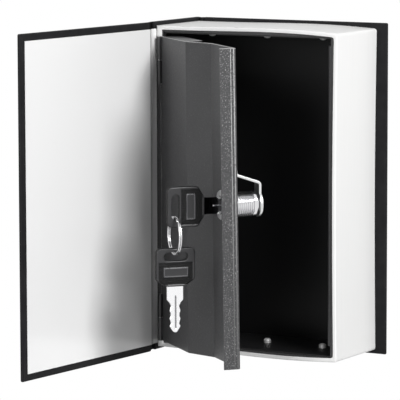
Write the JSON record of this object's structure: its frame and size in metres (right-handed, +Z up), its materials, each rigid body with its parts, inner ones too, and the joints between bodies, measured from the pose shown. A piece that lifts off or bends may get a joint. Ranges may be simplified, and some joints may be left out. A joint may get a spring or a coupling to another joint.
{
  "type": "book diversion safe",
  "caption": "Standing hard-cover book with an open cloth-hinged cover, hiding a steel box with a hinged keyed door in a hollow white page block.",
  "frame": {"origin": "middle of the back cover's lower edge, on the surface that the book stands on", "axes": "+Z up along the spine, +X from the spine to the fore-edge, +Y from the front of the page block to the back cover"},
  "size_m": [0.1693, 0.2252, 0.24],
  "materials": {
    "cover_cloth": "fine-grained near-black bookcloth with a low sheen",
    "grey_board": "raw grey bookbinder's board",
    "endpaper": "smooth coated white paper",
    "page_block": "white moulded plastic with fine page lines",
    "box_enamel": "black baked enamel",
    "door_enamel": "dark grey speckled powder coat",
    "zinc_steel": "bright zinc plate",
    "nickel": "polished nickel plate",
    "brass": "stamped brass",
    "key_nickel": "nickel-plated key blank",
    "key_plastic": "black moulded key bow"
  },
  "bodies": {
    "book": {"back_board": "grey_board", "back_cover_cloth": "cover_cloth", "back_endpaper": "endpaper", "rear_joint_cloth": "cover_cloth", "spine_board": "grey_board", "spine_cloth": "cover_cloth", "page_shell": "page_block", "steel_box": "box_enamel", "box_rivet_top_1": "zinc_steel", "box_rivet_top_2": "zinc_steel", "box_rivet_top_3": "zinc_steel", "box_rivet_bottom_1": "zinc_steel", "box_rivet_bottom_2": "zinc_steel", "box_rivet_bottom_3": "zinc_steel", "front_frame": "door_enamel", "strike_channel": "door_enamel", "hinge_pin_top": "zinc_steel", "hinge_pin_bottom": "zinc_steel"},
    "joint_strip": {"front_joint_cloth": "cover_cloth", "front_joint_paper": "endpaper"},
    "front_cover": {"front_board": "grey_board", "front_cover_cloth": "cover_cloth", "front_endpaper": "endpaper"},
    "door": {"door_panel": "door_enamel", "lock_housing": "nickel", "lock_nut": "zinc_steel"},
    "plug": {"lock_plug": "nickel", "lock_wafer_1": "brass", "lock_wafer_2": "brass", "lock_wafer_3": "brass", "lock_wafer_4": "brass", "lock_wafer_5": "brass", "lock_cam": "zinc_steel", "cam_screw": "zinc_steel"},
    "key": {"key_blade": "key_nickel", "key_bow": "key_plastic"},
    "ring": {"split_ring": "nickel"},
    "spare": {"spare_key_blade": "key_nickel", "spare_key_bow": "key_plastic"}
  },
  "joints": [
    {"name": "door_swing", "type": "hinge", "parent": "book", "child": "door", "pos_m": [-0.07585, -0.0648, 0.12], "axis": [0, 0, -1], "range_deg": [-40.8, 49.2]},
    {"name": "joint_fold", "type": "hinge", "parent": "book", "child": "joint_strip", "pos_m": [-0.08325, -0.0652, 0.12], "axis": [0, 0, -1], "range_deg": [-40.8, 49.2]},
    {"name": "cover_swing", "type": "hinge", "parent": "joint_strip", "child": "front_cover", "pos_m": [-0.08131, -0.07244, 0.12], "axis": [0, 0, -1], "range_deg": [-16, 85.4]},
    {"name": "lock_turn", "type": "hinge", "parent": "door", "child": "plug", "pos_m": [0.01115, -0.12272, 0.1185], "axis": [0.6534, 0.757, 0], "range_deg": [0, 90]},
    {"name": "key_pull", "type": "slide", "parent": "plug", "child": "key", "axis": [-0.6534, -0.757, 0], "range_m": [0, 0.022]},
    {"name": "ring_hang", "type": "hinge", "parent": "key", "child": "ring", "pos_m": [-0.01257, -0.1502, 0.10705], "axis": [0.6534, 0.757, 0], "range_deg": [-90, 0]},
    {"name": "spare_swing", "type": "hinge", "parent": "ring", "child": "spare", "pos_m": [-0.01257, -0.1502, 0.08589], "axis": [0.757, -0.6534, 0], "range_deg": [-12, 12]}
  ],
  "couplings": [
    {"joint": "joint_fold", "follows": "door_swing", "ratio": 1},
    {"joint": "ring_hang", "follows": "lock_turn", "ratio": -1}
  ]
}
